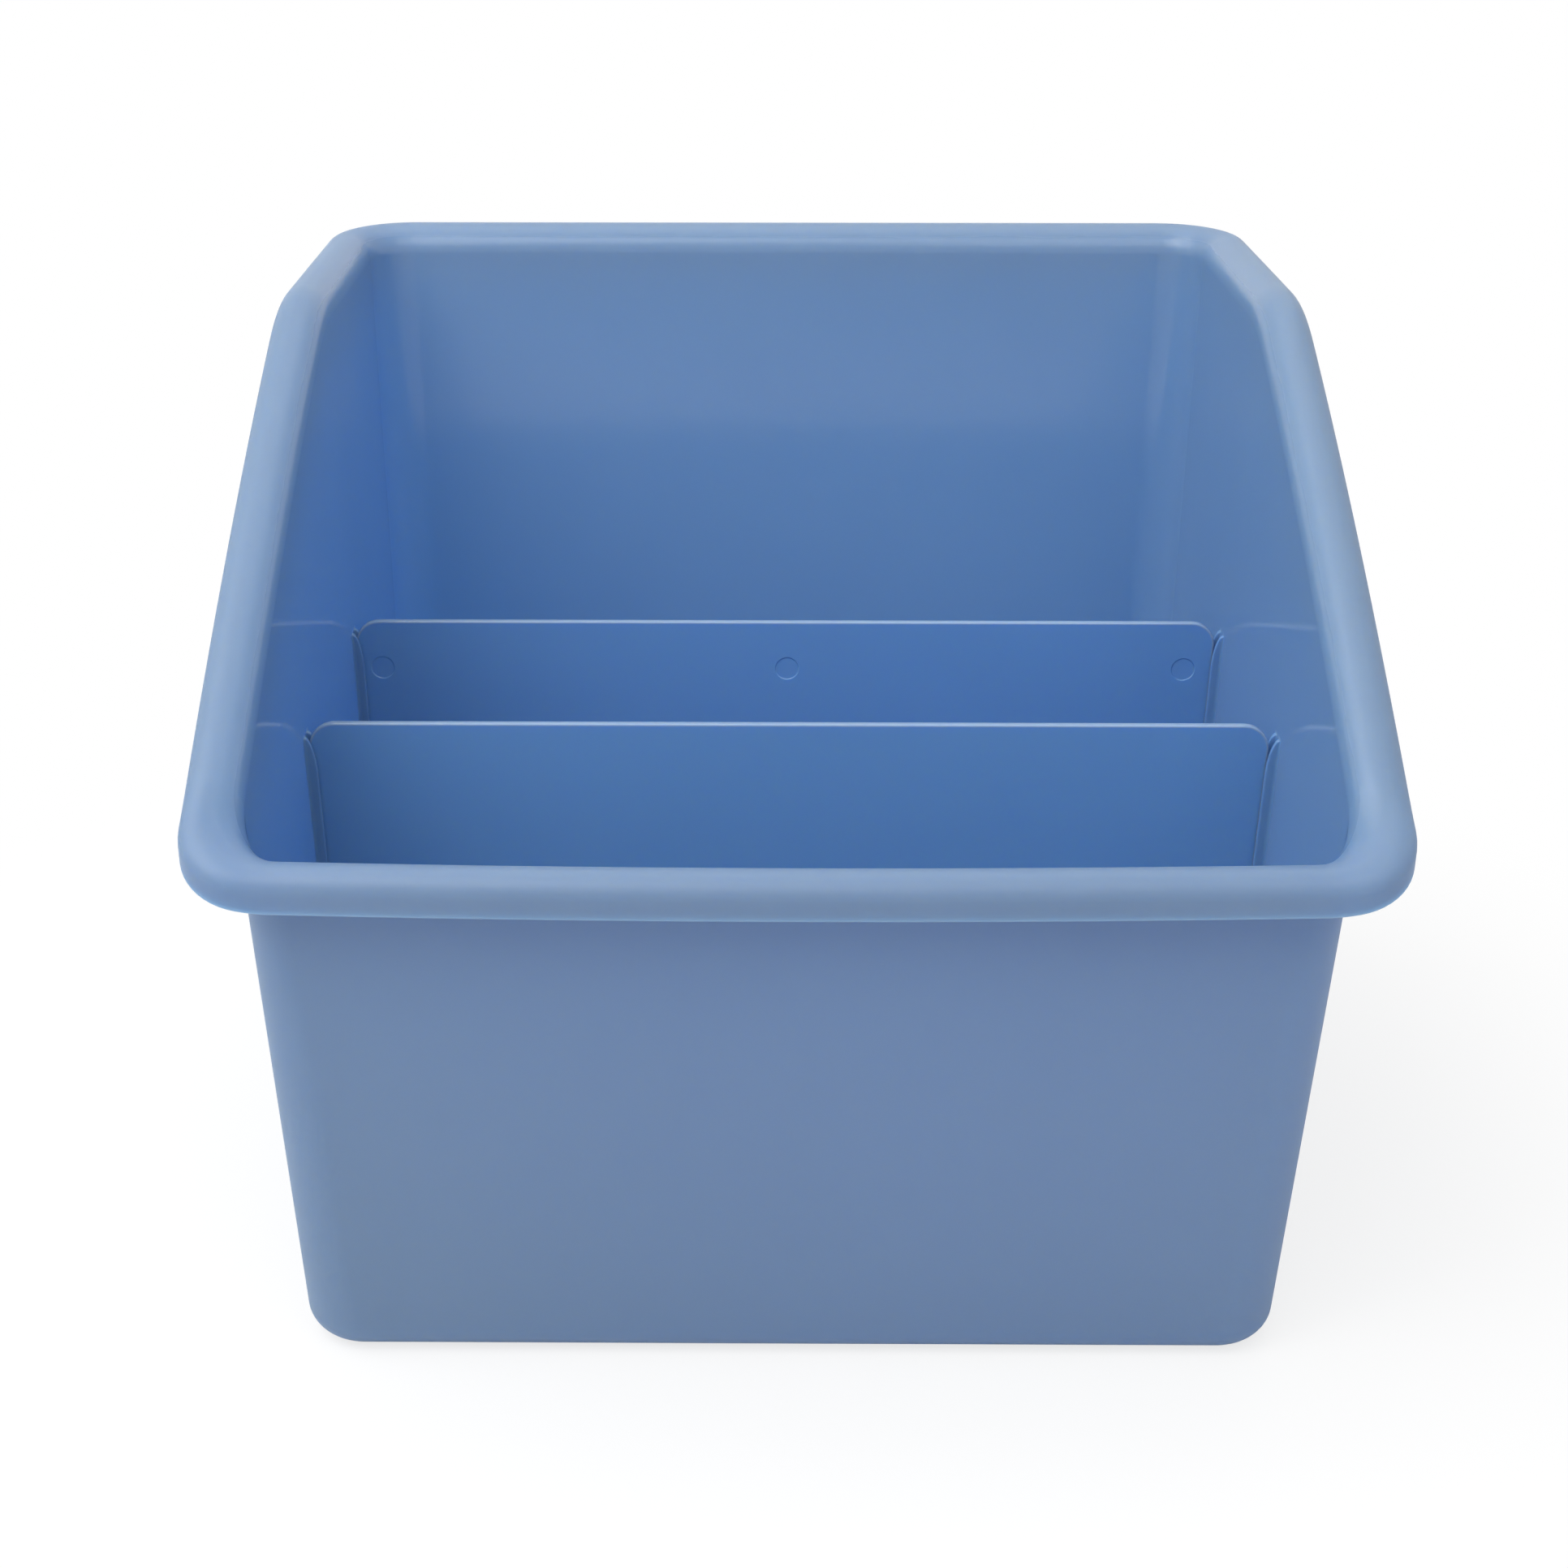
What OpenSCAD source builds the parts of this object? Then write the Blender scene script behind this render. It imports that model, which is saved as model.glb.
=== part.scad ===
// Plastic book bin: a drafted tub with a rolled rim, tall at the back and low at the front,
// and two flat dividers that lift out of slots between ribs on the side walls.
// The origin is the centre of the tub's outline on the surface that it stands on.
// +Z is up and the low front faces -Y. All sizes are in millimetres.

/* [Tub] */
// Overall width across the rim
rim_w = 329.4; // [280:0.1:420]
// Overall depth across the rim, front to back
rim_l = 328; // [290:1:420]
// Height of the rim's crown along the back
back_h = 277; // [240:1:330]
// Height of the rim's crown along the front
front_h = 170; // [150:1:210]
// Depth of the rim's level stretch, from the back edge
level_l = 126; // [90:1:150]
// Thickness of the walls and of the rim
wall_t = 2.8; // [2:0.1:3.4]
// Thickness of the floor
floor_t = 3; // [2:0.1:4]
// Outer radius of the upright back corners, under the rim
corner_r = 17; // [15:0.5:34]
// Outer radius of the upright front corners, under the rim
front_corner_r = 14; // [12:0.5:34]
// Outer radius of the upright corners, at the floor
foot_corner_r = 18; // [15:0.5:34]
// Outer radius of the edge between the floor and the walls
foot_r = 10; // [6:0.5:13]
// How far each side wall leans in from the rim to the floor
side_lean = 7; // [3:0.5:16]
// How far the front wall leans in from the rim to the floor
front_lean = 14; // [6:0.5:20]
// How far the back wall leans in from the rim to the floor
back_lean = 20; // [6:0.5:28]
// How far the middle of the front bows out past its corners
front_bow = 3; // [0:0.1:5]
// How far the middle of each side bows out past its corners
side_bow = 0.4; // [0:0.1:3]
// How much nearer to the middle each side is at the back's height than at the front's
side_narrow = 1.1; // [0:0.1:3]

/* [Rim] */
// How far the rim stands out past the walls
rim_over = 12.6; // [12.6:0.1:18]
// Outer radius of the rim's front corners, seen from above
rim_corner_r = 17; // [16:0.5:30]
// Height of the rim, from its crown to the skirt's lower edge
skirt_h = 11.7; // [9:0.1:18]
// Radius of the rim's outer bend
rim_r = 6.3; // [4:0.1:6.5]
// Radius of the rim's inner bend, into the mouth
mouth_r = 9; // [5:0.1:9.2]
// Half the length over which the side rims bend from level to sloping
bend_l = 14; // [6:1:20]
// How far the middle of the sloping rims rises over a straight line
slope_bow = 4.5; // [0:0.1:7]

/* [Dividers] */
// Thickness of a divider
divider_t = 2.4; // [1.6:0.1:4]
// Height of a divider's top above the surface that the tub stands on
divider_h = 168.5; // [120:0.5:180]
// Radius of a divider's top corners
divider_r = 8; // [4:0.5:16]
// Distance of the front divider from the tub's centre, towards the front
front_slot_y = 52.5; // [36:0.5:70]
// Distance of the rear divider from the tub's centre, towards the back
rear_slot_y = 37; // [20:0.5:50]
// Play between a divider's ends and the side walls
end_play = 1.6; // [1.2:0.1:2.4]
// How far the dividers lie off the middle of their slots, along X
divider_shift = -0.8; // [-0.9:0.1:0.9]
// Gap under a divider
floor_gap = 0.3; // [0.2:0.05:0.8]

/* [Slot ribs] */
// How far a rib stands out of the side wall
rib_out = 3.2; // [2.8:0.1:6]
// Thickness of a rib
rib_t = 1.8; // [1.2:0.1:3]
// Clearance between a divider's face and a rib
slot_gap = 0.4; // [0.3:0.05:1]
// How far the ribs' tops stay below a divider's top
rib_drop = 4; // [3:0.5:20]
// Height over which a rib's top runs out into the wall
rib_taper = 12; // [4:0.5:16]

/* [Hidden] */
// Stretches in a quarter turn of the tub's corners
turn_n = 8;
// Stretches along the front and along the back
front_n = 8;
back_n = 4;
// Stretches along the slope, the bend and the level part of each side
slope_n = 6;
bend_n = 5;
level_n = 2;
// Steps in a quarter bend of the rim, of the floor's edge and of a divider's corner
round_n = 5;
// How deep a rib is sunk into the wall and the floor that carry it
rib_sink = 1.2;
// Radius of the skirt's lower outer edge
lip_r = 0.7;
tub_colour = [0.46, 0.58, 0.78];
divider_colour = [0.42, 0.56, 0.78];

// Half-width and ends of the walls' outer outline, under the rim and at the floor
rim_hx = rim_w / 2 - rim_over;
rim_front = -rim_l / 2 + rim_over;
rim_back = rim_l / 2 - rim_over;
foot_hx = rim_hx - side_lean;
foot_front = rim_front + front_lean;
foot_back = rim_back - back_lean;

// The inner bend may not run into the outer one
mouth = min(mouth_r, rim_over + wall_t - rim_r - 0.2);
// Inner radius of the edge between the floor and the walls
inner_foot_r = foot_r - wall_t;

// Where the side rims start to slope, and where they reach the front's height
kink_y = rim_l / 2 - level_l;
low_y = -rim_l / 2 + front_bow;
slope_run = kink_y - low_y;

// Ends of the straight part of each side, along Y, under the rim
side_start = rim_front + front_bow + front_corner_r;
side_end = rim_back - corner_r;
bend_start = (kink_y - bend_l - side_start) / (side_end - side_start);
bend_end = (kink_y + bend_l - side_start) / (side_end - side_start);
side_steps = concat(
    [for (i = [0:slope_n]) bend_start * i / slope_n],
    [for (i = [1:bend_n]) bend_start + (bend_end - bend_start) * i / bend_n],
    [for (i = [1:level_n]) bend_end + (1 - bend_end) * i / level_n]
);
last_step = len(side_steps) - 1;

// Stations round the tub, anticlockwise from above: [stretch, share or angle]
stations = concat(
    [for (i = [0:front_n - 1]) ["front", i / front_n]],
    [for (i = [0:turn_n - 1]) ["front right", 90 * i / turn_n]],
    [for (i = [0:last_step - 1]) ["right", side_steps[i]]],
    [for (i = [0:turn_n - 1]) ["back right", 90 * i / turn_n]],
    [for (i = [0:back_n - 1]) ["back", i / back_n]],
    [for (i = [0:turn_n - 1]) ["back left", 90 * i / turn_n]],
    [for (i = [last_step:-1:1]) ["left", side_steps[i]]],
    [for (i = [0:turn_n - 1]) ["front left", 90 * i / turn_n]]
);
station_n = len(stations);

function bow(t) = pow(2 * t - 1, 2);

// A point of an outline with half-width hx, ends yf and yb, front and back corner radii rf and rb,
// and bows fb and sb
function outline(s, hx, yf, yb, rf, rb, fb, sb) =
    let (
        t = s[1],
        fx = hx - sb - rf,
        bx = hx - sb - rb,
        cf = yf + fb + rf,
        cb = yb - rb
    )
    s[0] == "front" ? [(2 * t - 1) * fx, yf + fb * bow(t)]
    : s[0] == "front right" ? [fx + rf * sin(t), cf - rf * cos(t)]
    : s[0] == "right" ? [hx - sb * bow(t), cf + t * (cb - cf)]
    : s[0] == "back right" ? [bx + rb * cos(t), cb + rb * sin(t)]
    : s[0] == "back" ? [(1 - 2 * t) * bx, yb]
    : s[0] == "back left" ? [-bx - rb * sin(t), cb + rb * cos(t)]
    : s[0] == "left" ? [-hx + sb * bow(t), cf + t * (cb - cf)]
    : [-fx - rf * cos(t), cf - rf * sin(t)];

function outward(s) =
    let (t = s[1])
    s[0] == "front" ? [0, -1]
    : s[0] == "front right" ? [sin(t), -cos(t)]
    : s[0] == "right" ? [1, 0]
    : s[0] == "back right" ? [cos(t), sin(t)]
    : s[0] == "back" ? [0, 1]
    : s[0] == "back left" ? [-sin(t), cos(t)]
    : s[0] == "left" ? [-1, 0]
    : [-cos(t), -sin(t)];

// Distance below the kink along Y, with the kink rounded
function past_kink(d) = d <= -bend_l ? 0 : d >= bend_l ? d : pow(d + bend_l, 2) / (4 * bend_l);

// Height of the rim's crown where its outer edge lies at y. At the front corners, y is taken as if
// the rim kept its width there, so the crown rises a little round the corner.
function rim_height(y) =
    let (u = past_kink(kink_y - max(y, low_y)) / slope_run)
    back_h - (back_h - front_h) * u + 4 * slope_bow * u * (1 - u);

// How far the rim stands out at station s. The front corners are squarer than the walls under
// them, so the rim is broader there.
full_turn = front_corner_r + rim_over;
corner_turn = min(rim_corner_r, full_turn);
corner_in = full_turn - corner_turn;
function corner_reach(a) =
    full_turn * tan(a) < corner_in ? full_turn / cos(a)
    : corner_in * (cos(a) + sin(a)) + sqrt(pow(corner_turn, 2) - pow(corner_in * (cos(a) - sin(a)), 2));
function reach(s) =
    s[0] == "front right" || s[0] == "front left"
        ? corner_reach(min(s[1], 90 - s[1])) - front_corner_r
        : rim_over;

// A point at x, drawn in towards the middle where the rim's crown stands at height h
function drawn_in(x, h) = x * (1 - side_narrow * (h - front_h) / (back_h - front_h) / rim_hx);

wide_pts = [for (s = stations)
    outline(s, rim_hx, rim_front, rim_back, front_corner_r, corner_r, front_bow, side_bow)];
foot_pts = [for (s = stations)
    outline(s, foot_hx, foot_front, foot_back, foot_corner_r, foot_corner_r, 0, 0)];
normals = [for (s = stations) outward(s)];
reaches = [for (s = stations) reach(s)];
crowns = [for (k = [0:station_n - 1]) rim_height(wide_pts[k].y + rim_over * normals[k].y)];
rim_pts = [for (k = [0:station_n - 1]) [drawn_in(wide_pts[k].x, crowns[k]), wide_pts[k].y]];

// The wall's outer face at station k and height z, moved outwards by off
function wall_pt(k, off, z) =
    let (p = foot_pts[k] + (rim_pts[k] - foot_pts[k]) * z / crowns[k] + off * normals[k])
    [p.x, p.y, z];

// Rings of points at a height above the ground, and at a depth below the rim's crown.
// The last kind keeps the rim upright instead of leaning with the wall. It takes the distance out
// at the sides, which grows at the front corners, and how far inside that the point lies.
function ring_at(off, z) = [for (k = [0:station_n - 1]) wall_pt(k, off, z)];
function ring_below(off, d) = [for (k = [0:station_n - 1]) wall_pt(k, off, crowns[k] - d)];
function rim_ring(off, inside, d) =
    [for (k = [0:station_n - 1])
        let (p = rim_pts[k] + (off * reaches[k] / rim_over - inside) * normals[k])
        [p.x, p.y, crowns[k] - d]];

quarter = [for (i = [0:round_n]) 90 * i / round_n];
bend_x = rim_over - rim_r;
mouth_x = mouth - wall_t;

tub_rings = concat(
    // Edge of the floor, outside
    [for (a = quarter) ring_at(-foot_r * (1 - sin(a)), foot_r * (1 - cos(a)))],
    // Channel under the rim, from the wall over to the skirt
    [for (a = quarter) ring_below(mouth_x * (1 - cos(a)), mouth - mouth_x * sin(a))],
    [for (a = quarter)
        rim_ring(bend_x + rim_r * sin(a), wall_t * sin(a), rim_r - (rim_r - wall_t) * cos(a))],
    // Skirt's lower edge
    [rim_ring(rim_over, wall_t, skirt_h)],
    [rim_ring(rim_over, lip_r, skirt_h)],
    [rim_ring(rim_over, 0, skirt_h - lip_r)],
    // Outer bend up to the crown, then the inner bend down into the mouth
    [for (a = quarter) rim_ring(bend_x + rim_r * cos(a), 0, rim_r * (1 - sin(a)))],
    [for (a = quarter) ring_below(mouth_x - mouth * sin(a), mouth * (1 - cos(a)))],
    // Edge of the floor, inside
    [for (a = quarter)
        ring_at(-wall_t - inner_foot_r * (1 - cos(a)), floor_t + inner_foot_r * (1 - sin(a)))]
);
ring_n = len(tub_rings);

function at(j, k) = j * station_n + k % station_n;

// Middle of the foot and of the floor, where their triangles meet
foot_mid = (foot_front + foot_back) / 2;
under_mid = ring_n * station_n;
floor_mid = under_mid + 1;

module tub_shell() {
    polyhedron(
        points = concat([for (ring = tub_rings) each ring], [[0, foot_mid, 0], [0, foot_mid, floor_t]]),
        faces = concat(
            [for (k = [0:station_n - 1]) [at(0, k), at(0, k + 1), under_mid]],
            [for (j = [0:ring_n - 2], k = [0:station_n - 1])
                each [
                    [at(j, k), at(j + 1, k), at(j + 1, k + 1)],
                    [at(j, k), at(j + 1, k + 1), at(j, k + 1)]
                ]],
            [for (k = [0:station_n - 1]) [at(ring_n - 1, k + 1), at(ring_n - 1, k), floor_mid]]
        ),
        convexity = 8
    );
}

// Inner face of the right-hand wall at y and height z
function rim_half(y) =
    drawn_in(rim_hx - side_bow * bow((y - side_start) / (side_end - side_start)), rim_height(y));
function wall_x(y, z) = foot_hx + (rim_half(y) - foot_hx) * z / rim_height(y) - wall_t;

// Profile of a rib on the right-hand wall, as [x, z]: crest, rounded top, then the sunk side
function rib_profile(y) =
    let (
        top = divider_h - rib_drop,
        low = floor_t - rib_sink,
        turn = inner_foot_r + rib_sink,
        edge_z = floor_t + inner_foot_r,
        edge_x = wall_x(y, edge_z) - inner_foot_r
    )
    concat(
        [[wall_x(y, low) - inner_foot_r - rib_out, low]],
        [for (a = quarter)
            [wall_x(y, edge_z) - rib_out - (inner_foot_r - rib_sink) * (1 - sin(a)),
                edge_z - (inner_foot_r - rib_sink) * cos(a)]],
        [for (a = quarter)
            let (z = top - rib_taper * (1 - sin(a)))
            [wall_x(y, z) - rib_out * cos(a), z]],
        [[wall_x(y, top) + rib_sink, top]],
        [for (i = [round_n:-1:0]) [edge_x + turn * sin(quarter[i]), edge_z - turn * cos(quarter[i])]]
    );

module rib(y) {
    translate([0, y + rib_t / 2, 0])
        rotate([90, 0, 0])
            linear_extrude(rib_t)
                polygon(rib_profile(y));
}

// The four ribs that hold a divider standing at y
module slot(y) {
    for (side = [0, 1], face = [-1, 1])
        mirror([side, 0, 0])
            rib(y + face * (divider_t / 2 + slot_gap + rib_t / 2));
}

module tub() {
    color(tub_colour)
        union() {
            tub_shell();
            slot(-front_slot_y);
            slot(rear_slot_y);
        }
}

function unit(v) = v / norm(v);

// Points of an arc of radius r that rounds the corner p between its neighbours a and b
function rounded(a, p, b, r) =
    let (
        u = unit(a - p),
        w = unit(b - p),
        half = acos(u * w) / 2,
        d = r / tan(half),
        c = p + unit(u + w) * r / sin(half),
        from = p + u * d - c,
        to = p + w * d - c,
        first = atan2(from.y, from.x),
        sweep = (atan2(to.y, to.x) - first + 540) % 360 - 180
    )
    [for (i = [0:2 * round_n])
        let (t = first + sweep * i / (2 * round_n))
        c + r * [cos(t), sin(t)]];

// A divider standing at y. Its ends run beside the side walls and its lower corners clear
// the rounded edge of the floor.
module divider(y) {
    low = floor_t + floor_gap;
    low_x = wall_x(y, low) - end_play;
    top_x = wall_x(y, divider_h) - end_play;
    corners = [[-low_x, low], [low_x, low], [top_x, divider_h], [-top_x, divider_h]];
    radii = [foot_r, foot_r, divider_r, divider_r];
    translate([divider_shift, y + divider_t / 2, 0])
        rotate([90, 0, 0])
            linear_extrude(divider_t)
                polygon([
                    for (i = [0:3])
                        each rounded(corners[(i + 3) % 4], corners[i], corners[(i + 1) % 4], radii[i])
                ]);
}

module front_divider() {
    color(divider_colour)
        divider(-front_slot_y);
}

module rear_divider() {
    color(divider_colour)
        divider(rear_slot_y);
}

tub();
front_divider();
rear_divider();
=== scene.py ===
import math
import bmesh
import bpy
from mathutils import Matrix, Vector


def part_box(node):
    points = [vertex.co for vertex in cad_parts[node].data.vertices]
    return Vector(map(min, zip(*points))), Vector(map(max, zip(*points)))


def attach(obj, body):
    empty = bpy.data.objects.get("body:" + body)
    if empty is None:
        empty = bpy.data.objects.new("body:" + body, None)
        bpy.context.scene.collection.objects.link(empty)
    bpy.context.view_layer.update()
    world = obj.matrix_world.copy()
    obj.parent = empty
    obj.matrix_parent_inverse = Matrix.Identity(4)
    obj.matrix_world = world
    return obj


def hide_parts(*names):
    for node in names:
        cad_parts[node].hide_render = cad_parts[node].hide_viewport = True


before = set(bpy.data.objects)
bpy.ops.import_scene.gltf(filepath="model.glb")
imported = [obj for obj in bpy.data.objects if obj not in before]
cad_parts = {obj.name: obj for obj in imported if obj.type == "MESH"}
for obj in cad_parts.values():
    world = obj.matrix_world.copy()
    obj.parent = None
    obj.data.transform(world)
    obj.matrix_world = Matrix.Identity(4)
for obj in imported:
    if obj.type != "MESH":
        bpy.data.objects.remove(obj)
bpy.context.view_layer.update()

# Plastic book bin: a moulded tub with a rolled rim, and two plates that lift out of slots in it.
# Metres, Z up, the low front faces -Y. Overall sizes come from the parts in model.glb.

mm = 0.001

tubLow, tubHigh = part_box("tub")

# the tub's own sizes
tub = {
    "halfWidth": (tubHigh.x - tubLow.x) / 2,
    "front": tubLow.y,
    "back": tubHigh.y,
    "backHeight": tubHigh.z,
    "frontHeight": 170 * mm,
    "levelDepth": 126 * mm,      # level stretch of the rim, from the back edge
    "wall": 2.8 * mm,
    "floor": 3 * mm,
    "cornerRadius": 17 * mm,
    "frontCornerRadius": 14 * mm,
    "footCornerRadius": 18 * mm,
    "footRadius": 10 * mm,
    "sideLean": 7 * mm,          # how far a wall's foot stands in from its top
    "frontLean": 14 * mm,
    "backLean": 20 * mm,
    "frontBow": 3 * mm,          # how much further out a wall stands in its middle
    "sideBow": 0.4 * mm,
    "sideNarrow": 1.1 * mm,      # each side is this much nearer to the middle at the back
}

rim = {
    "over": 12.6 * mm,           # how far it stands out past the walls' outer faces
    "cornerRadius": 17 * mm,     # front corners, seen from above
    "depth": 11.7 * mm,          # crown to the skirt's lower edge
    "outerRadius": 6.3 * mm,
    "mouthRadius": 9 * mm,
    "lipRadius": 0.7 * mm,
    "bendHalf": 14 * mm,         # half the length of the bend from level to sloping
    "slopeBow": 4.5 * mm,        # how far the sloping stretch rises above a straight line
    "skirtRows": (0.4, 0.75),    # shares of the way down the skirt
}

ribs = {
    "out": 3.2 * mm,
    "noseHalf": 0.78 * mm,
    "rootHalf": 0.9 * mm,
    "noseRadius": 0.7 * mm,
    "filletRadius": 1.1 * mm,
    "belowDivider": 4 * mm,
    "taper": 12 * mm,            # height over which a rib's top runs out into the wall
    "fromMiddle": 2.5 * mm,      # rib's middle to the divider's middle
    "zoneHalf": 5 * mm,          # the stretch of wall kept for one slot, to each side
    "arcSteps": 5,
    "rowsAbove": 7,              # rows of the inside wall above the ribs
    "taperRows": (1.0, 0.995, 0.98, 0.95, 0.9, 0.82, 0.7, 0.55, 0.38, 0.2, 0.0),
    "highShare": 0.93,           # on the low front the taper's rows lie between these shares of the wall
    "lowShare": 0.89,
    "floorRows": (0.25, 0.5, 0.75, 1.0),
}

# how finely the tub is swept
sweep = {
    "front": 28,
    "back": 16,
    "corner": 22,
    "sideStep": 5 * mm,
    "bendStep": 2 * mm,
    "footArc": 12,
    "rimArc": 14,
    "mouthArc": 16,
    "lipArc": 5,
    "wallRows": 14,
    "floorBand": 2 * mm,
}


# where the walls stand under the rim and at the floor
rimHalf = tub["halfWidth"] - rim["over"]
rimFront = tub["front"] + rim["over"]
rimBack = tub["back"] - rim["over"]
footHalf = rimHalf - tub["sideLean"]
footFront = rimFront + tub["frontLean"]
footBack = rimBack - tub["backLean"]
innerFoot = tub["footRadius"] - tub["wall"]
kinkY = tub["back"] - tub["levelDepth"]
lowY = tub["front"] + tub["frontBow"]
rimSideStart = rimFront + tub["frontBow"] + tub["frontCornerRadius"]
rimSideEnd = rimBack - tub["cornerRadius"]
footSideStart = footFront + tub["footCornerRadius"]
footSideEnd = footBack - tub["footCornerRadius"]


def rimHeight(y):
    d = kinkY - max(y, lowY)
    bend = rim["bendHalf"]
    if d <= -bend:
        d = 0
    elif d < bend:
        d = (d + bend) ** 2 / (4 * bend)
    u = d / (kinkY - lowY)
    drop = tub["backHeight"] - tub["frontHeight"]
    return tub["backHeight"] - drop * u + 4 * rim["slopeBow"] * u * (1 - u)


def drawnIn(x, height):
    # the sides come a little nearer to the middle as the rim rises
    rise = (height - tub["frontHeight"]) / (tub["backHeight"] - tub["frontHeight"])
    return x * (1 - tub["sideNarrow"] * rise / rimHalf)


def rimSide(y):
    t = (y - rimSideStart) / (rimSideEnd - rimSideStart)
    return rimHalf - tub["sideBow"] * (2 * t - 1) ** 2


def cornerReach(a):
    # how far the rim stands out at a front corner, at an angle off the front or the side
    full = tub["frontCornerRadius"] + rim["over"]
    inset = full - rim["cornerRadius"]
    a = min(a, math.pi / 2 - a)
    if full * math.tan(a) < inset:
        reach = full / math.cos(a)
    else:
        cross = inset * (math.cos(a) - math.sin(a))
        reach = inset * (math.cos(a) + math.sin(a)) + math.sqrt(rim["cornerRadius"] ** 2 - cross ** 2)
    return reach - tub["frontCornerRadius"]


def arc(steps, first=0.0, last=90.0):
    return [math.radians(first + (last - first) * i / steps) for i in range(steps + 1)]


def ribSection():
    # (distance along the wall, height out of the wall) over one rib, from root to root
    r, n = ribs["filletRadius"], ribs["noseRadius"]
    half = []
    for a in arc(ribs["arcSteps"]):
        half.append((-ribs["rootHalf"] - r + r * math.sin(a), r * (1 - math.cos(a))))
    for a in arc(ribs["arcSteps"]):
        half.append((-ribs["noseHalf"] + n * (1 - math.cos(a)), ribs["out"] - n * (1 - math.sin(a))))
    return half + [(-x, h) for x, h in reversed(half)]


dividerBoxes = [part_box("front_divider"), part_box("rear_divider")]
slotYs = [(low.y + high.y) / 2 for low, high in dividerBoxes]
ribTop = dividerBoxes[0][1].z - ribs["belowDivider"]


def sideStations():
    # (y under the rim, y at the foot, height of the rib there), from front to back
    bumps = []
    for slotY in slotYs:
        for side in (-1, 1):
            middle = slotY + side * ribs["fromMiddle"]
            bumps += [(middle + x, h) for x, h in ribSection()]
    bumps.sort()
    zones = [(slotY - ribs["zoneHalf"], slotY + ribs["zoneHalf"]) for slotY in slotYs]
    plain = [rimSideStart]
    while plain[-1] < rimSideEnd:
        y = plain[-1]
        near = abs(y - kinkY) < rim["bendHalf"] + sweep["sideStep"]
        plain.append(y + (sweep["bendStep"] if near else sweep["sideStep"]))
    plain = [y for y in plain if y < rimSideEnd - sweep["bendStep"]]
    plain = [y for y in plain if not any(a < y < b for a, b in zones)]
    ys = sorted([(y, 0.0) for y in plain] + bumps)

    def footY(y):
        first, last = zones[0][0], zones[-1][1]
        if y < first:
            t = (first - y) / (first - rimSideStart)
            return first - t * (first - footSideStart)
        if y > last:
            t = (y - last) / (rimSideEnd - last)
            return last + t * (footSideEnd - last)
        return y

    return [(y, footY(y), h) for y, h in ys] + [(rimSideEnd, footSideEnd, 0.0)]


def tubStations():
    # round the tub, anticlockwise from above: plan points under the rim and at the foot, the way outward,
    # height of the rib, how far the rim stands out and how high its crown is
    stations = []
    footRadius = tub["footCornerRadius"]
    frontX = rimHalf - tub["sideBow"] - tub["frontCornerRadius"]
    backX = rimHalf - tub["sideBow"] - tub["cornerRadius"]
    footX = footHalf - footRadius

    def add(x, y, foot, out, rib=0.0, over=rim["over"]):
        crown = rimHeight(y + rim["over"] * out.y)
        stations.append((Vector((drawnIn(x, crown), y)), foot, out, rib, over, crown))

    def turn(cx, cy, dx, dy, first, r, front):
        for i in range(sweep["corner"]):
            a = math.radians(90 * i / sweep["corner"])
            b = a + math.radians(first)
            out = Vector((math.cos(b), math.sin(b)))
            add(cx + r * out.x, cy + r * out.y, Vector((dx, dy)) + footRadius * out, out,
                over=cornerReach(a) if front else rim["over"])

    side = sideStations()
    for i in range(sweep["front"]):
        u = 2 * i / sweep["front"] - 1
        bow = tub["frontBow"] * u ** 2
        add(u * frontX, rimFront + bow, Vector((u * footX, footFront)), Vector((0, -1)))
    turn(frontX, rimSideStart, footX, footSideStart, -90, tub["frontCornerRadius"], True)
    for y, foot, h in side[:-1]:
        add(rimSide(y), y, Vector((footHalf, foot)), Vector((1, 0)), h)
    turn(backX, rimSideEnd, footX, footSideEnd, 0, tub["cornerRadius"], False)
    for i in range(sweep["back"]):
        u = 1 - 2 * i / sweep["back"]
        add(u * backX, rimBack, Vector((u * footX, footBack)), Vector((0, 1)))
    turn(-backX, rimSideEnd, -footX, footSideEnd, 90, tub["cornerRadius"], False)
    for y, foot, h in side[:0:-1]:
        add(-rimSide(y), y, Vector((-footHalf, foot)), Vector((-1, 0)), h)
    turn(-frontX, rimSideStart, -footX, footSideStart, 180, tub["frontCornerRadius"], True)
    return stations


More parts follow.
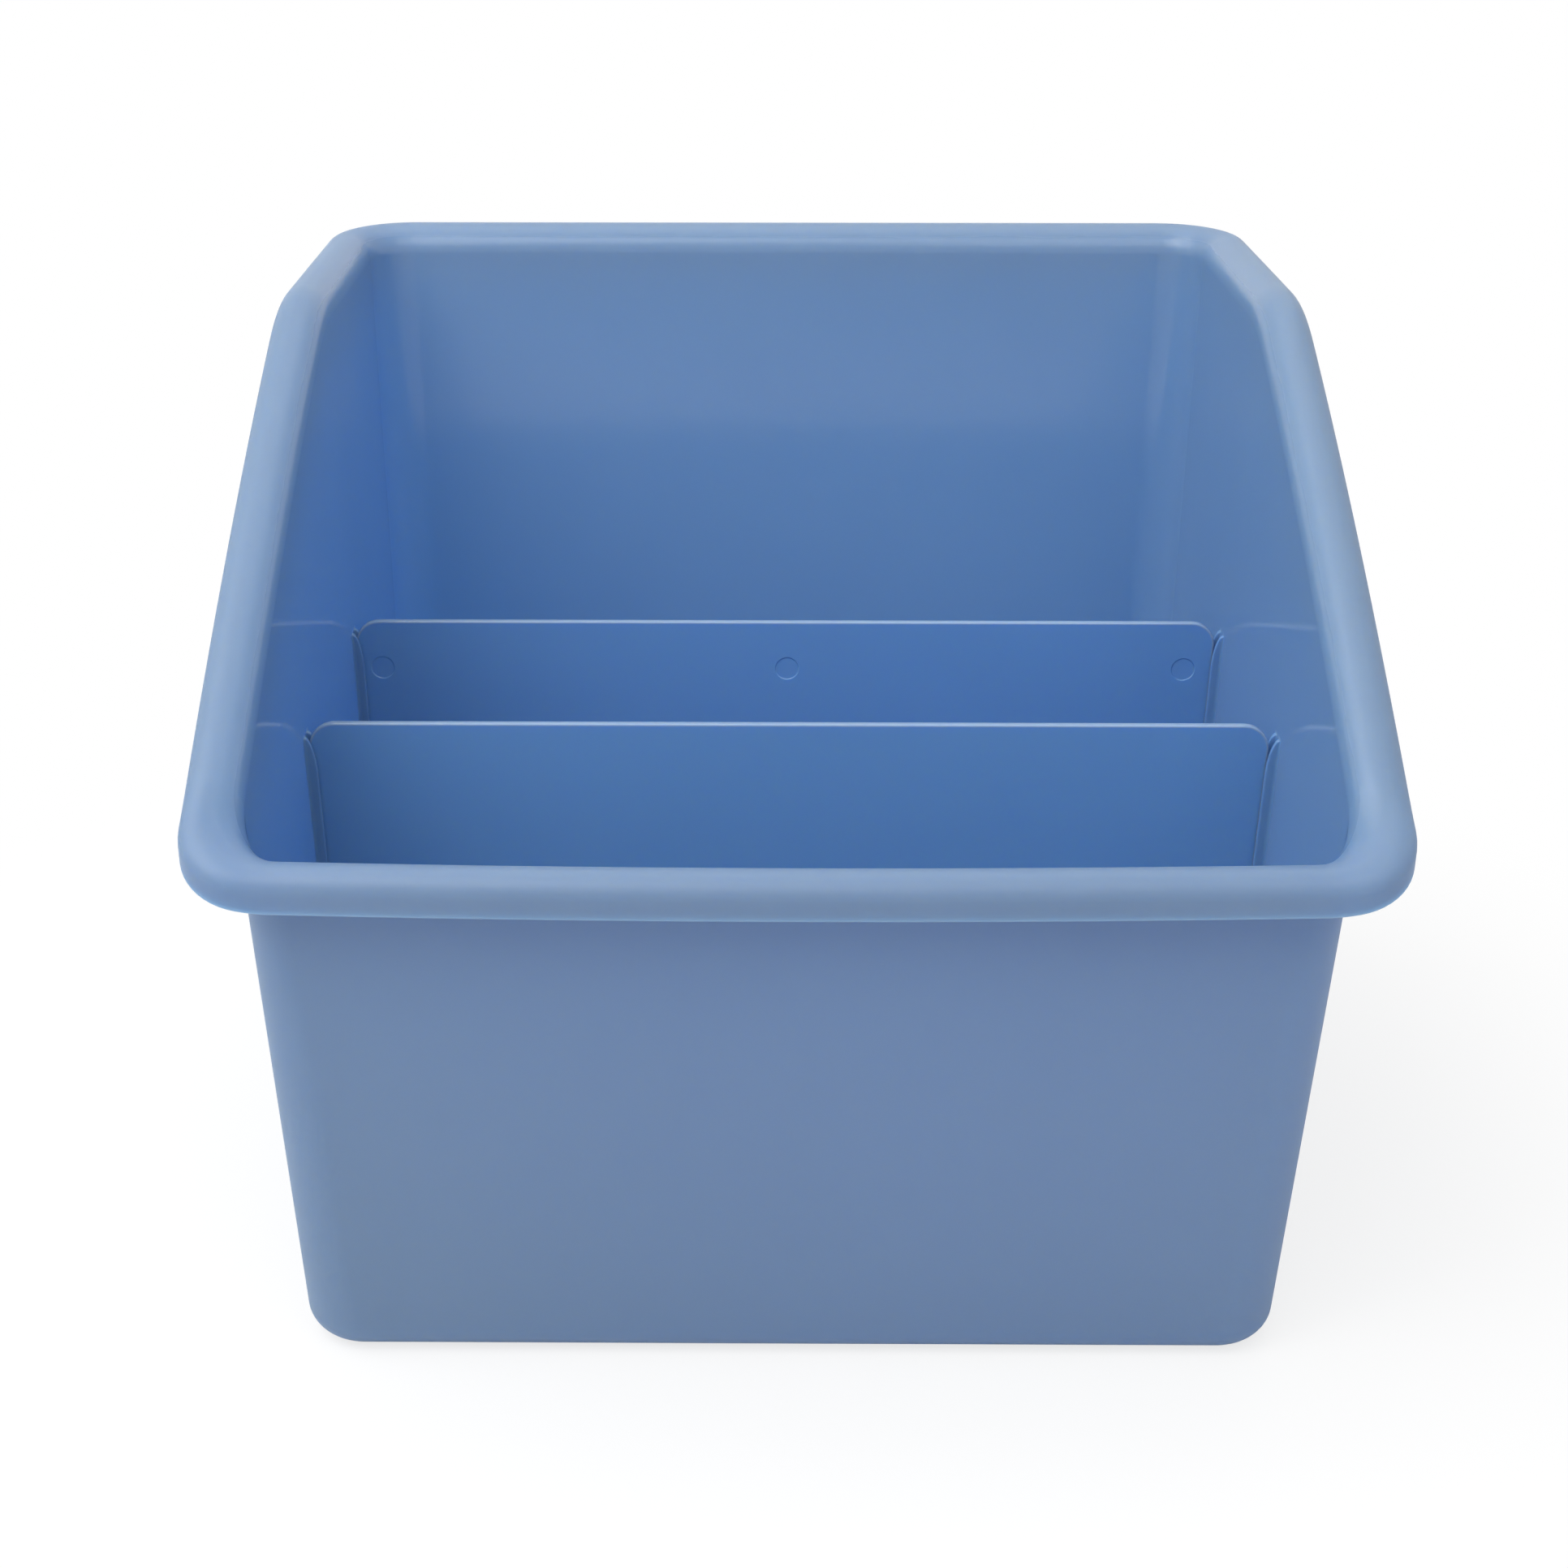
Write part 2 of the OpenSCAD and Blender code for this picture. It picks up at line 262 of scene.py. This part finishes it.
def tubRings(stations):
    crowns = [station[5] for station in stations]

    def wallPoint(k, off, z):
        p, foot, out = stations[k][:3]
        q = foot + (p - foot) * z / crowns[k] + off * out
        return Vector((q.x, q.y, z))

    def rimPoint(k, off, inside, depth):
        # off grows with the rim at the front corners, inside doesn't
        p, _, out, _, over, crown = stations[k]
        q = p + (off * over / rim["over"] - inside) * out
        return Vector((q.x, q.y, crown - depth))

    count = range(len(stations))
    wall, foot, mouth = tub["wall"], tub["footRadius"], rim["mouthRadius"]
    channel = mouth - wall
    bendX = rim["over"] - rim["outerRadius"]
    inner = rim["outerRadius"] - wall
    lip = rim["lipRadius"]
    rings = []

    # outside: the floor's edge, the wall, the channel under the rim
    for a in arc(sweep["footArc"]):
        rings.append([wallPoint(k, -foot * (1 - math.sin(a)), foot * (1 - math.cos(a))) for k in count])
    for i in range(1, sweep["wallRows"]):
        t = i / sweep["wallRows"]
        rings.append([wallPoint(k, 0, foot + t * (crowns[k] - mouth - foot)) for k in count])
    for a in arc(sweep["rimArc"]):
        rings.append([wallPoint(k, channel * (1 - math.cos(a)), crowns[k] - mouth + channel * math.sin(a))
                      for k in count])
    for a in arc(sweep["rimArc"]):
        rings.append([rimPoint(k, bendX + rim["outerRadius"] * math.sin(a), wall * math.sin(a),
                               rim["outerRadius"] - inner * math.cos(a)) for k in count])
    # down the skirt's inner face, round its lower edge and up its outer face
    for t in rim["skirtRows"]:
        depth = rim["outerRadius"] + t * (rim["depth"] - rim["outerRadius"])
        rings.append([rimPoint(k, rim["over"], wall, depth) for k in count])
    for a in arc(sweep["lipArc"]):
        rings.append([rimPoint(k, rim["over"], wall - lip * (1 - math.cos(a)),
                               rim["depth"] - lip * (1 - math.sin(a))) for k in count])
    for a in arc(sweep["lipArc"]):
        rings.append([rimPoint(k, rim["over"], lip * (1 - math.sin(a)),
                               rim["depth"] - lip * (1 - math.cos(a))) for k in count])
    for t in reversed(rim["skirtRows"]):
        depth = rim["outerRadius"] + t * (rim["depth"] - rim["outerRadius"])
        rings.append([rimPoint(k, rim["over"], 0, depth) for k in count])
    # outer bend up to the crown, inner bend down into the mouth, without a second ring on the crown
    for a in arc(sweep["rimArc"]):
        rings.append([rimPoint(k, bendX + rim["outerRadius"] * math.cos(a), 0,
                               rim["outerRadius"] * (1 - math.sin(a))) for k in count])
    for a in arc(sweep["mouthArc"])[1:]:
        rings.append([wallPoint(k, channel - mouth * math.sin(a), crowns[k] - mouth * (1 - math.cos(a)))
                      for k in count])

    # inside: the wall with the ribs standing out of it
    insideFrom = len(rings)
    edgeZ = tub["floor"] + innerFoot
    fadeLow = ribTop - ribs["taper"]

    def wallLevels(k):
        top = crowns[k] - mouth
        above, below, fillet = ribs["rowsAbove"], sweep["wallRows"], ribs["filletRadius"]
        high = min(ribTop + fillet, edgeZ + ribs["highShare"] * (top - edgeZ))
        low = min(fadeLow, edgeZ + ribs["lowShare"] * (top - edgeZ))
        span = high - fillet - low
        levels = [top + (high - top) * (i + 1) / above for i in range(above)]
        levels += [low + span * s for s in ribs["taperRows"]]
        levels += [low + (edgeZ - low) * (i + 1) / below for i in range(below - 1)]
        return levels

    def ribHeight(h, z):
        if z <= fadeLow:
            return h
        s = min(1.0, (z - fadeLow) / ribs["taper"])
        return h * math.sqrt(1 - s * s)

    table = [wallLevels(k) for k in count]
    for row in range(len(table[0])):
        rings.append([wallPoint(k, -wall - ribHeight(stations[k][3], table[k][row]), table[k][row])
                      for k in count])
    # inside edge of the floor, then the ribs run out on the floor
    for a in arc(sweep["footArc"]):
        ring = []
        for k in count:
            r = innerFoot - stations[k][3]
            ring.append(wallPoint(k, -wall - innerFoot + r * math.cos(a), edgeZ - r * math.sin(a)))
        rings.append(ring)
    for t in ribs["floorRows"]:
        ring = []
        for k in count:
            rise = stations[k][3] * math.sqrt(1 - t * t)
            ring.append(wallPoint(k, -wall - innerFoot - t * ribs["out"], tub["floor"] + rise))
        rings.append(ring)
    return rings, insideFrom


def makePiece(name, bm, body, materials):
    bmesh.ops.recalc_face_normals(bm, faces=bm.faces)
    mesh = bpy.data.meshes.new(name)
    bm.to_mesh(mesh)
    bm.free()
    for face in mesh.polygons:
        face.use_smooth = True
    piece = bpy.data.objects.new(name, mesh)
    bpy.context.scene.collection.objects.link(piece)
    for material in materials:
        piece.data.materials.append(material)
    weights = piece.modifiers.new("even shading", "WEIGHTED_NORMAL")
    weights.keep_sharp = True
    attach(piece, body)
    return piece


def bridge(bm, first, second):
    faces = []
    for k in range(len(first)):
        after = (k + 1) % len(first)
        faces.append(bm.faces.new((first[k], first[after], second[after], second[k])))
    return faces


def fillFlat(bm, ring, inset, middle):
    # a narrow flat band, then one flat face, so that the rounded edge shades cleanly
    band = []
    for v in ring:
        way = Vector((middle.x - v.co.x, middle.y - v.co.y, 0)).normalized()
        band.append(bm.verts.new(v.co + inset * way))
    bridge(bm, ring, band)
    bm.faces.new(band)
    return band


def buildTub(wall, rib):
    # the attribute "inside" is 0 outside and grows over the inner bend to 1 where it meets the wall; it
    # blends the outside colour into the inside one, which is painted lighter as painted light, and the
    # satin finish into the polished one
    stations = tubStations()
    rings, insideFrom = tubRings(stations)
    bm = bmesh.new()
    finish = bm.verts.layers.float.new("inside")
    loops = [[bm.verts.new(p) for p in ring] for ring in rings]
    for i, loop in enumerate(loops):
        share = min(1.0, max(0.0, 1 - (insideFrom - i) / sweep["mouthArc"]))
        for v in loop:
            v[finish] = share
    for i in range(len(loops) - 1):
        for k, face in enumerate(bridge(bm, loops[i], loops[i + 1])):
            after = stations[(k + 1) % len(stations)]
            # the ribs take the second material, whose own colour is painted light
            if i >= insideFrom + ribs["rowsAbove"] and max(stations[k][3], after[3]) > 0:
                face.material_index = 1
    middle = Vector((0, (footFront + footBack) / 2, 0))
    fillFlat(bm, loops[0], sweep["floorBand"], middle)
    for v in fillFlat(bm, loops[-1], sweep["floorBand"], middle):
        v[finish] = 1.0
    piece = makePiece("tub_moulding", bm, "tub", (wall, rib))
    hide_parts("tub")
    print("tub:", len(stations), "stations,", len(rings), "rings")
    return piece


# Dividers

divider = {
    "topRadius": 8 * mm,
    "bottomRadius": 10 * mm,
    "endPlay": 1.6 * mm,         # between each end and the wall
    "edgeRadius": 0.55 * mm,
    "edgeSteps": 5,
    "flatBand": 0.3 * mm,        # keeps the rounded edge's shading off the faces
    "arcSteps": 16,
    "pinRadius": 4 * mm,
    "pinSides": 48,
    "pinDepth": 0.25 * mm,
    # how far in from the pin's radius, share of the depth
    "pinSteps": ((0, 0), (0.06 * mm, 0.3), (0.12 * mm, 1), (0.5 * mm, 1)),
    "pinDrop": 16.5 * mm,        # below the top edge
    "pinXs": (-136 * mm, 0.0, 133 * mm),
}


def roundCorner(a, p, b, r, steps):
    u, w = (a - p).normalized(), (b - p).normalized()
    half = u.angle(w) / 2
    c = p + (u + w).normalized() * r / math.sin(half)
    start, end = p + u * r / math.tan(half) - c, p + w * r / math.tan(half) - c
    first = math.atan2(start.y, start.x)
    turn = (math.atan2(end.y, end.x) - first + 3 * math.pi) % (2 * math.pi) - math.pi
    angles = [first + turn * i / steps for i in range(steps + 1)]
    return c, [c + r * Vector((math.cos(t), math.sin(t))) for t in angles]


def wallX(y, z):
    # inner face of the right-hand wall
    top = rimHeight(y)
    return footHalf + (drawnIn(rimSide(y), top) - footHalf) * z / top - tub["wall"]


def dividerOutline(low, high):
    # points and outward directions round the plate, in X and Z, anticlockwise from the front
    y = (low.y + high.y) / 2
    middle = (low.x + high.x) / 2
    bottomX = wallX(y, low.z) - divider["endPlay"]
    topX = wallX(y, high.z) - divider["endPlay"]
    bottom = [Vector((side * bottomX, low.z)) for side in (-1, 1)]
    top = [Vector((side * topX, high.z)) for side in (1, -1)]
    corners = bottom + top
    radii = [divider["bottomRadius"]] * 2 + [divider["topRadius"]] * 2
    outline = []
    for i, corner in enumerate(corners):
        before, after = corners[i - 1], corners[(i + 1) % len(corners)]
        centre, points = roundCorner(before, corner, after, radii[i], divider["arcSteps"])
        outline += [(p + Vector((middle, 0)), (p - centre).normalized()) for p in points]
    return outline


def pinMark(bm, x, y, z):
    # shallow round step left by an ejector pin; gives back the edges of its outer ring
    n = divider["pinSides"]
    turns = [2 * math.pi * i / n for i in range(n)]
    loops = []
    for shrink, share in divider["pinSteps"]:
        r = divider["pinRadius"] - shrink
        depth = share * divider["pinDepth"]
        loops.append([bm.verts.new((x + r * math.cos(t), y + depth, z + r * math.sin(t))) for t in turns])
    for first, second in zip(loops, loops[1:]):
        bridge(bm, first, second)
    bm.faces.new(loops[-1])
    return [bm.edges.get((loops[0][i], loops[0][(i + 1) % n])) for i in range(n)]


def buildDivider(name, node, pinXs, material):
    low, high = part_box(node)
    outline = dividerOutline(low, high)
    r = divider["edgeRadius"]
    sections = [(r + divider["flatBand"], 0.0)]
    sections += [(r * (1 - math.sin(a)), r * (1 - math.cos(a))) for a in arc(divider["edgeSteps"])]
    around = [(inset, low.y + depth) for inset, depth in sections]
    around += [(inset, high.y - depth) for inset, depth in reversed(sections)]
    bm = bmesh.new()
    finish = bm.verts.layers.float.new("inside")
    loops = []
    for inset, y in around:
        loops.append([bm.verts.new((p.x - inset * n.x, y, p.y - inset * n.y)) for p, n in outline])
    for first, second in zip(loops, loops[1:]):
        bridge(bm, first, second)
    bm.faces.new(loops[-1])
    count = len(outline)
    rims = [bm.edges.get((loops[0][i], loops[0][(i + 1) % count])) for i in range(count)]
    for x in pinXs:
        rims += pinMark(bm, x, low.y, high.z - divider["pinDrop"])
    bmesh.ops.triangle_fill(bm, edges=rims, use_beauty=True, normal=(0, -1, 0))
    # the attribute "inside" is 1 on the faces and 0 round the edge, where the plate takes a paler colour,
    # a painted highlight
    for v in bm.verts:
        v[finish] = 1.0
    for loop in loops[1:-1]:
        for v in loop:
            v[finish] = 0.0
    piece = makePiece(name, bm, node, (material,))
    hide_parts(node)
    print("divider:", name)
    return piece


# Plastic

plastic = {
    "outsideColour": (0.168, 0.256, 0.380, 1),
    # painted light: the tub is one plastic, but its inside is given a lighter colour than its outside to
    # stand in for the light that fills the bin
    "insidePaintedLighterColour": (0.192, 0.304, 0.452, 1),
    # painted light: the ribs are the same plastic as the wall, but get a bluer, slightly lighter colour
    # of their own so that they look as lit as the wall, which light passes through
    "ribPaintedLightColour": (0.168, 0.328, 0.60, 1),
    # painted highlight: a paler colour round the plates' rounded edges, where they catch the light
    "edgePaintedHighlightColour": (0.30, 0.42, 0.60, 1),
    "dividerColour": (0.18, 0.385, 0.73, 1),
    "speckColour": (0.05, 0.06, 0.09, 1),
    "satin": 0.45,               # roughness of the outside
    "polished": 0.11,            # and of the inside and the plates
    "ior": 1.52,
    "wallDepth": 15 * mm,        # how deep light spreads in the plastic before it comes back
    "ribDepth": 1 * mm,
    "dividerDepth": 2 * mm,
    "seeThroughRadius": (0.42, 0.62, 1.0),
    # scale, detail and roughness of what varies over the surface
    "clouds": (11, 3, 0.5),
    "streaks": (45, 4, 0.6),
    "waves": (38, 2, 0.5),
    "tone": 0.06,                # how much the clouds change the tone
    "glossChange": 0.06,         # how much the streaks change the roughness
    "waveHeight": 0.02 * mm,
    "specks": 0.985,             # share of the cells that have no speck
    "speckCells": 60,
    "speckRim": 0.03,            # a speck fades in from here, in parts of a cell
    "speckFull": 0.014,
    "speckShare": 0.75,
}


def mouldedSkin():
    # what a moulded surface varies in: tone, gloss, slight waves and a few dark specks
    group = bpy.data.node_groups.new("moulded skin", "ShaderNodeTree")
    face = group.interface
    for name in ("Colour", "Speck Colour"):
        face.new_socket(name, in_out="INPUT", socket_type="NodeSocketColor")
    for name in ("Tone", "Roughness", "Gloss Change", "Specks"):
        face.new_socket(name, in_out="INPUT", socket_type="NodeSocketFloat")
    face.new_socket("Colour", in_out="OUTPUT", socket_type="NodeSocketColor")
    for name in ("Roughness", "Height"):
        face.new_socket(name, in_out="OUTPUT", socket_type="NodeSocketFloat")
    nodes, links = group.nodes, group.links
    into = nodes.new("NodeGroupInput")
    out = nodes.new("NodeGroupOutput")
    place = nodes.new("ShaderNodeTexCoord")

    def noise(scale, detail, roughness):
        n = nodes.new("ShaderNodeTexNoise")
        n.inputs["Scale"].default_value = scale
        n.inputs["Detail"].default_value = detail
        n.inputs["Roughness"].default_value = roughness
        links.new(place.outputs["Object"], n.inputs["Vector"])
        return n.outputs["Fac"]

    def combine(operation, a, b):
        n = nodes.new("ShaderNodeMath")
        n.operation = operation
        for socket, value in zip(n.inputs, (a, b)):
            if isinstance(value, (int, float)):
                socket.default_value = value
            else:
                links.new(value, socket)
        return n.outputs[0]

    clouds = noise(*plastic["clouds"])
    streaks = noise(*plastic["streaks"])
    waves = noise(*plastic["waves"])

    # tone: clouds a hand wide, darker and lighter by a few parts in a hundred
    shade = combine("MULTIPLY", combine("SUBTRACT", clouds, 0.5), into.outputs["Tone"])
    bright = nodes.new("ShaderNodeHueSaturation")
    links.new(into.outputs["Colour"], bright.inputs["Color"])
    links.new(combine("ADD", shade, 1.0), bright.inputs["Value"])

    # specks: one small dot in a few cells
    cells = nodes.new("ShaderNodeTexVoronoi")
    cells.inputs["Scale"].default_value = plastic["speckCells"]
    links.new(place.outputs["Object"], cells.inputs["Vector"])
    pick = nodes.new("ShaderNodeSeparateColor")
    links.new(cells.outputs["Color"], pick.inputs["Color"])
    chosen = combine("GREATER_THAN", pick.outputs["Red"], into.outputs["Specks"])
    dot = nodes.new("ShaderNodeMapRange")
    dot.inputs["From Min"].default_value = plastic["speckRim"]
    dot.inputs["From Max"].default_value = plastic["speckFull"]
    links.new(cells.outputs["Distance"], dot.inputs["Value"])
    speck = combine("MULTIPLY", combine("MULTIPLY", chosen, dot.outputs["Result"]), plastic["speckShare"])
    mix = nodes.new("ShaderNodeMix")
    mix.data_type = "RGBA"
    links.new(speck, mix.inputs["Factor"])
    links.new(bright.outputs["Color"], mix.inputs["A"])
    links.new(into.outputs["Speck Colour"], mix.inputs["B"])
    links.new(mix.outputs["Result"], out.inputs["Colour"])

    gloss = combine("MULTIPLY", combine("SUBTRACT", streaks, 0.5), into.outputs["Gloss Change"])
    links.new(combine("ADD", gloss, into.outputs["Roughness"]), out.inputs["Roughness"])
    links.new(waves, out.inputs["Height"])
    return group


def blendFinishes(nodes, links, surface, outer, inner):
    # outer colour and roughness where the attribute "inside" is 0, inner ones where it is 1. The
    # roughnesses are the real finishes; the colours differ by painted light: the tub's inside is painted
    # lighter, and the plates' rounded edges get a paler painted highlight
    share = nodes.new("ShaderNodeAttribute")
    share.attribute_name = "inside"
    colour = nodes.new("ShaderNodeMix")
    colour.data_type = "RGBA"
    colour.inputs["A"].default_value = outer[0]
    colour.inputs["B"].default_value = inner[0]
    links.new(share.outputs["Fac"], colour.inputs["Factor"])
    links.new(colour.outputs["Result"], surface.inputs["Colour"])
    gloss = nodes.new("ShaderNodeMapRange")
    gloss.inputs["To Min"].default_value = outer[1]
    gloss.inputs["To Max"].default_value = inner[1]
    links.new(share.outputs["Fac"], gloss.inputs["Value"])
    links.new(gloss.outputs["Result"], surface.inputs["Roughness"])


def plasticMaterial(name, skin, depth, finishes):
    # finishes: a colour and roughness, or two of them to blend
    material = bpy.data.materials.new(name)
    material.use_nodes = True
    nodes, links = material.node_tree.nodes, material.node_tree.links
    shader = nodes["Principled BSDF"]
    shader.inputs["IOR"].default_value = plastic["ior"]
    shader.inputs["Subsurface Weight"].default_value = 1.0
    shader.inputs["Subsurface Radius"].default_value = plastic["seeThroughRadius"]
    shader.inputs["Subsurface Scale"].default_value = depth
    surface = nodes.new("ShaderNodeGroup")
    surface.node_tree = skin
    surface.inputs["Speck Colour"].default_value = plastic["speckColour"]
    surface.inputs["Tone"].default_value = plastic["tone"]
    surface.inputs["Gloss Change"].default_value = plastic["glossChange"]
    surface.inputs["Specks"].default_value = plastic["specks"]
    for socket, value in zip(("Colour", "Roughness"), finishes[0]):
        surface.inputs[socket].default_value = value
    if len(finishes) == 2:
        blendFinishes(nodes, links, surface, *finishes)
    bump = nodes.new("ShaderNodeBump")
    bump.inputs["Distance"].default_value = plastic["waveHeight"]
    links.new(surface.outputs["Colour"], shader.inputs["Base Color"])
    links.new(surface.outputs["Roughness"], shader.inputs["Roughness"])
    links.new(surface.outputs["Height"], bump.inputs["Height"])
    links.new(bump.outputs["Normal"], shader.inputs["Normal"])
    return material


# Camera, where the photograph was taken from

camera = {
    "place": (-12.2 * mm, -722.3 * mm, 444.35 * mm),
    "down": 24.443,              # degrees below level
    "turn": 0.408,               # degrees to the left
    "lens": 55.37,
    "sensor": 36,
    "shiftX": 0.0315,
    "shiftY": 0.0164,
    "near": 0.01,
    "far": 50,
}


def placeCamera():
    data = bpy.data.cameras.new("camera")
    data.lens = camera["lens"]
    data.sensor_width = camera["sensor"]
    data.shift_x = camera["shiftX"]
    data.shift_y = camera["shiftY"]
    data.clip_start = camera["near"]
    data.clip_end = camera["far"]
    eye = bpy.data.objects.new("camera", data)
    eye.location = camera["place"]
    eye.rotation_euler = (math.radians(90 - camera["down"]), 0, math.radians(camera["turn"]))
    bpy.context.scene.collection.objects.link(eye)
    bpy.context.scene.camera = eye
    print("camera placed")


# Floor, sky and lamps

studio = {
    "floorSize": 12.0,
    "floorDrop": 0.1 * mm,       # keeps the floor clear of the bin's underside
    "floorColour": (0.78, 0.80, 0.84, 1),
    "floorShadow": 0.25,         # how much of its shading the floor shows to the camera
    "shadowNear": 0.18,          # from here to there that share fades out
    "shadowFar": 0.42,
    "backdropColour": (1.0, 1.0, 1.0, 1),
    "backdropStrength": 1.0,
    "skyStrength": 0.47,         # the level at which the sky lights the bin
    "lamps": {
        "keyLamp": {"place": (-1.5, -0.4, 2.1), "size": 2.0, "power": 30, "colour": (1.0, 1.0, 1.0)},
        "topLeftLamp": {"place": (-0.8, -1.3, 2.0), "size": 1.4, "power": 14, "colour": (1.0, 1.0, 0.99)},
        "topRightLamp": {"place": (0.6, -1.25, 2.0), "size": 1.4, "power": 8, "colour": (1.0, 1.0, 1.0)},
        "backLamp": {"place": (0.0, 0.7, 2.2), "size": 1.6, "power": 7.5, "colour": (1.0, 1.0, 1.0)},
    },
}


def floorMaterial():
    material = bpy.data.materials.new("pale floor")
    material.use_nodes = True
    nodes, links = material.node_tree.nodes, material.node_tree.links
    nodes.clear()
    out = nodes.new("ShaderNodeOutputMaterial")
    lit = nodes.new("ShaderNodeBsdfDiffuse")
    lit.inputs["Color"].default_value = studio["floorColour"]
    bright = nodes.new("ShaderNodeBsdfDiffuse")
    bright.inputs["Color"].default_value = studio["backdropColour"]
    white = nodes.new("ShaderNodeEmission")
    white.inputs["Color"].default_value = studio["backdropColour"]
    white.inputs["Strength"].default_value = studio["backdropStrength"]
    shown = nodes.new("ShaderNodeMixShader")
    # the shadow shows near the bin and fades out to white
    place = nodes.new("ShaderNodeTexCoord")
    reach = nodes.new("ShaderNodeVectorMath")
    reach.operation = "LENGTH"
    links.new(place.outputs["Object"], reach.inputs[0])
    fade = nodes.new("ShaderNodeMapRange")
    fade.interpolation_type = "SMOOTHSTEP"
    fade.inputs["From Min"].default_value = studio["shadowNear"]
    fade.inputs["From Max"].default_value = studio["shadowFar"]
    fade.inputs["To Min"].default_value = studio["floorShadow"]
    fade.inputs["To Max"].default_value = 0
    links.new(reach.outputs["Value"], fade.inputs["Value"])
    links.new(fade.outputs["Result"], shown.inputs["Fac"])
    links.new(white.outputs[0], shown.inputs[1])
    links.new(bright.outputs[0], shown.inputs[2])
    choose = nodes.new("ShaderNodeMixShader")
    path = nodes.new("ShaderNodeLightPath")
    links.new(path.outputs["Is Camera Ray"], choose.inputs["Fac"])
    links.new(lit.outputs[0], choose.inputs[1])
    links.new(shown.outputs[0], choose.inputs[2])
    links.new(choose.outputs[0], out.inputs["Surface"])
    return material


def buildStudio():
    s = studio["floorSize"] / 2
    mesh = bpy.data.meshes.new("floor")
    mesh.from_pydata([(-s, -s, 0), (s, -s, 0), (s, s, 0), (-s, s, 0)], [], [(0, 1, 2, 3)])
    floor = bpy.data.objects.new("floor", mesh)
    bpy.context.scene.collection.objects.link(floor)
    floor.location.z = -studio["floorDrop"]
    floor.data.materials.append(floorMaterial())

    world = bpy.data.worlds.new("pale studio")
    world.use_nodes = True
    bpy.context.scene.world = world
    nodes, links = world.node_tree.nodes, world.node_tree.links
    nodes.clear()
    out = nodes.new("ShaderNodeOutputWorld")
    path = nodes.new("ShaderNodeLightPath")

    # a dim level lights the bin, white is behind it and in its gloss
    direct = nodes.new("ShaderNodeMath")
    direct.operation = "MAXIMUM"
    links.new(path.outputs["Is Camera Ray"], direct.inputs[0])
    links.new(path.outputs["Is Glossy Ray"], direct.inputs[1])
    level = nodes.new("ShaderNodeMapRange")
    level.inputs["To Min"].default_value = studio["skyStrength"]
    level.inputs["To Max"].default_value = studio["backdropStrength"]
    links.new(direct.outputs[0], level.inputs["Value"])
    sky = nodes.new("ShaderNodeBackground")
    sky.inputs["Color"].default_value = studio["backdropColour"]
    links.new(level.outputs["Result"], sky.inputs["Strength"])
    links.new(sky.outputs[0], out.inputs["Surface"])

    aim = Vector((0, 0, tub["backHeight"] / 2))
    for name, lamp in studio["lamps"].items():
        data = bpy.data.lights.new(name, "AREA")
        data.size = lamp["size"]
        data.energy = lamp["power"]
        data.color = lamp["colour"]
        light = bpy.data.objects.new(name, data)
        light.location = lamp["place"]
        light.rotation_euler = (aim - Vector(lamp["place"])).to_track_quat("-Z", "Y").to_euler()
        bpy.context.scene.collection.objects.link(light)
    bpy.context.scene.view_settings.view_transform = "Standard"
    print("studio lit")


placeCamera()
buildStudio()
skin = mouldedSkin()
outside = (plastic["outsideColour"], plastic["satin"])
# the inside's colour is painted light, lighter than the outside's; its polished finish is real
inside = (plastic["insidePaintedLighterColour"], plastic["polished"])
# the ribs' colour is painted light, so they read as lit as the wall beside them
ribPaintedLightFinish = (plastic["ribPaintedLightColour"], plastic["polished"])
# the plates' edges get a paler colour, a painted highlight
paintedEdgeHighlight = (plastic["edgePaintedHighlightColour"], plastic["polished"])
face = (plastic["dividerColour"], plastic["polished"])
wall = plasticMaterial("tub plastic", skin, plastic["wallDepth"], (outside, inside))
rib = plasticMaterial("tub plastic ribs", skin, plastic["ribDepth"], (ribPaintedLightFinish,))
plate = plasticMaterial("divider plastic", skin, plastic["dividerDepth"], (paintedEdgeHighlight, face))
buildTub(wall, rib)
buildDivider("front_plate", "front_divider", (), plate)
buildDivider("rear_plate", "rear_divider", divider["pinXs"], plate)
